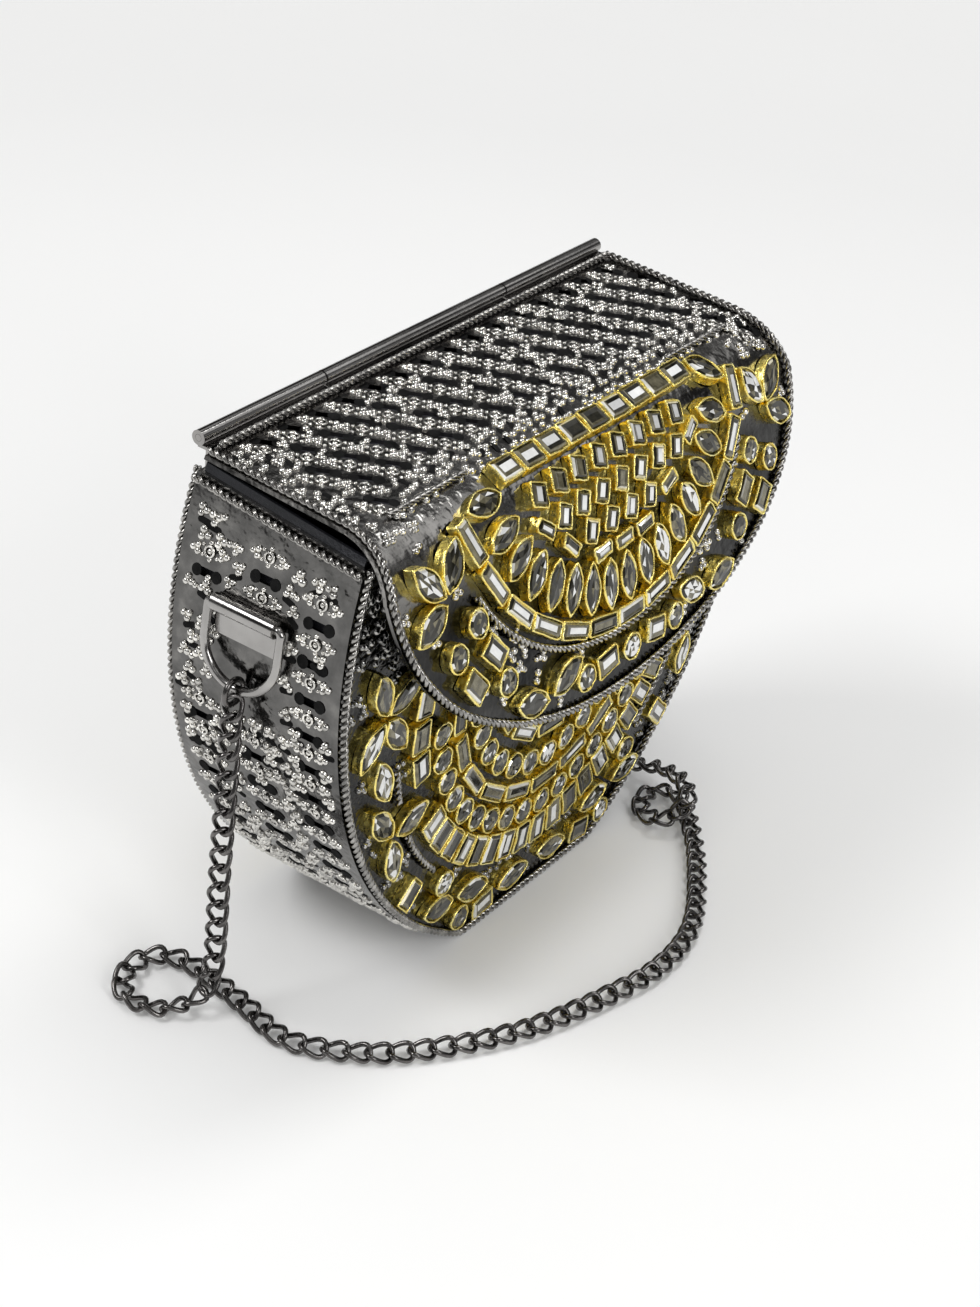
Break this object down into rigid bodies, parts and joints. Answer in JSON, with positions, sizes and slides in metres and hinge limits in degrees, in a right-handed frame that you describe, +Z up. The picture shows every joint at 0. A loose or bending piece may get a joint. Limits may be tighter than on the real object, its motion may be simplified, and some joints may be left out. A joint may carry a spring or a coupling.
{
  "type": "clutch bag",
  "caption": "Rounded metal clutch bag with a hinged flap lid, stone-set flap and front, beaded pierced sheet, two swinging side rings and a chain strap.",
  "frame": {"origin": "centre of the bag's bounding box, at the table", "axes": "+X along the hinge to the right seen from the front, -Y to the front, +Z up"},
  "size_m": [0.2302, 0.1134, 0.1567],
  "materials": {
    "gunmetal": "polished, darkened",
    "bead_metal": "polished beads",
    "rope_wire": "twisted wire",
    "polished_metal": "smooth, polished",
    "dark_enamel": "glossy black",
    "brass_bezels": "foil-bright",
    "glass_stones": "clear with grey backing",
    "cloth": "soft dark cloth",
    "magnets": "plated",
    "chain_metal": "darkened"
  },
  "bodies": {
    "case": {"band": "gunmetal", "front_panel": "gunmetal", "back_panel": "gunmetal", "front_edge_rope": "rope_wire", "back_edge_rope": "rope_wire", "mouth_ropes": "rope_wire", "mouth_collar": "dark_enamel", "case_lining": "cloth", "left_florets": "bead_metal", "right_florets": "bead_metal", "front_florets": "bead_metal", "front_rope_arcs": "rope_wire", "left_ring_tab": "polished_metal", "right_ring_tab": "polished_metal", "case_hinge": "polished_metal", "hinge_pin": "polished_metal", "front_brick_bezels": "brass_bezels", "front_bar_bezels": "brass_bezels", "front_petal_bezels": "brass_bezels", "front_round_bezels": "brass_bezels", "front_brick_stones": "glass_stones", "front_bar_stones": "glass_stones", "front_petal_stones": "glass_stones", "front_round_stones": "glass_stones", "back_bezels": "brass_bezels", "back_stones": "glass_stones", "case_magnet": "magnets", "chain_left_hang": "chain_metal", "chain_floor_one": "chain_metal", "chain_floor_two": "chain_metal", "chain_floor_three": "chain_metal", "chain_floor_four": "chain_metal", "chain_right_hang": "chain_metal"},
    "lid": {"lid_shell": "gunmetal", "lid_edge_rope": "rope_wire", "lid_back_rope": "rope_wire", "medallion_rope": "rope_wire", "lid_florets": "bead_metal", "lid_hinge": "polished_metal", "flap_brick_bezels": "brass_bezels", "flap_bar_bezels": "brass_bezels", "flap_leaf_bezels": "brass_bezels", "flap_petal_bezels": "brass_bezels", "flap_round_bezels": "brass_bezels", "flap_brick_stones": "glass_stones", "flap_bar_stones": "glass_stones", "flap_leaf_stones": "glass_stones", "flap_petal_stones": "glass_stones", "flap_round_stones": "glass_stones", "lid_lining": "cloth", "lid_magnet": "magnets"},
    "left_ring": {"left_ring": "polished_metal"},
    "left_link_ring": {"left_link_ring": "polished_metal"},
    "right_ring": {"right_ring": "polished_metal"},
    "right_link_ring": {"right_link_ring": "polished_metal"}
  },
  "joints": [
    {"name": "lid_opening", "type": "hinge", "parent": "case", "child": "lid", "pos_m": [0, 0.03956, 0.1547], "axis": [-1, 0, 0], "range_deg": [0, 105]},
    {"name": "left_ring_swing", "type": "hinge", "parent": "case", "child": "left_ring", "pos_m": [-0.09996, 0.01226, 0.1212], "axis": [0, 1, 0], "range_deg": [0, 160], "deforming": ["chain_left_hang"]},
    {"name": "left_link_swing", "type": "hinge", "parent": "left_ring", "child": "left_link_ring", "pos_m": [-0.10192, 0.01226, 0.10089], "axis": [0, 1, 0], "range_deg": [0, 80], "deforming": ["chain_left_hang"]},
    {"name": "right_ring_swing", "type": "hinge", "parent": "case", "child": "right_ring", "pos_m": [0.09996, 0.01226, 0.1212], "axis": [0, -1, 0], "range_deg": [0, 160], "deforming": ["chain_right_hang"]},
    {"name": "right_link_swing", "type": "hinge", "parent": "right_ring", "child": "right_link_ring", "pos_m": [0.10192, 0.01226, 0.10089], "axis": [0, -1, 0], "range_deg": [0, 80], "deforming": ["chain_right_hang"]}
  ]
}
